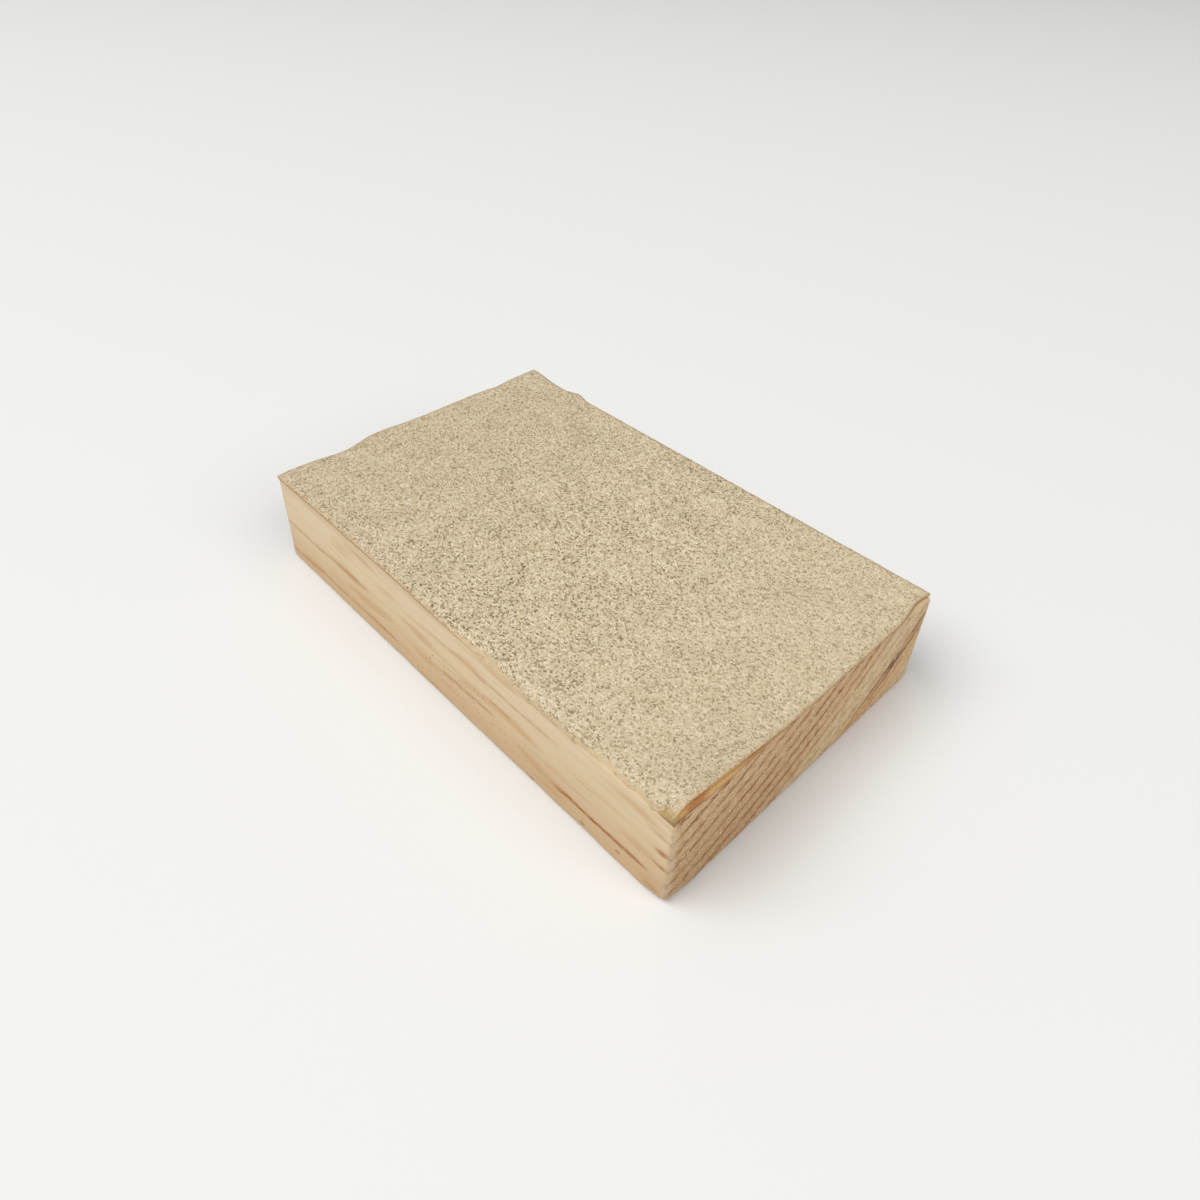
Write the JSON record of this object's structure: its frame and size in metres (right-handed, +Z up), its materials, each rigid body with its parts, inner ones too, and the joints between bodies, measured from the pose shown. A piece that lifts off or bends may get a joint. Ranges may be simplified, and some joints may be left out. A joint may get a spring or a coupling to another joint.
{
  "type": "sanding block",
  "caption": "Rectangular pine hand block with coated abrasive paper glued to its top face, loose at one corner.",
  "frame": {"origin": "centre of the bare face that the block rests on", "axes": "+X along the grain, towards the end above which the sheet has come loose; +Y across the board, away from the loose corner; +Z up, out of the abrasive face"},
  "size_m": [0.1024, 0.0645, 0.0223],
  "materials": {
    "pine": "planed and sawn, unfinished, matt",
    "glue": "dried film, slightly glossy, amber",
    "backing_paper": "heavy kraft paper, matt",
    "bond_resin": "thin cured resin, satin",
    "abrasive_grit": "sand-coloured crushed mineral with dark grains, rough"
  },
  "bodies": {
    "root": {"wood_block": "pine", "glue_film": "glue", "paper_backing": "backing_paper", "resin_make_coat": "bond_resin", "grit_coat": "abrasive_grit"}
  },
  "joints": []
}
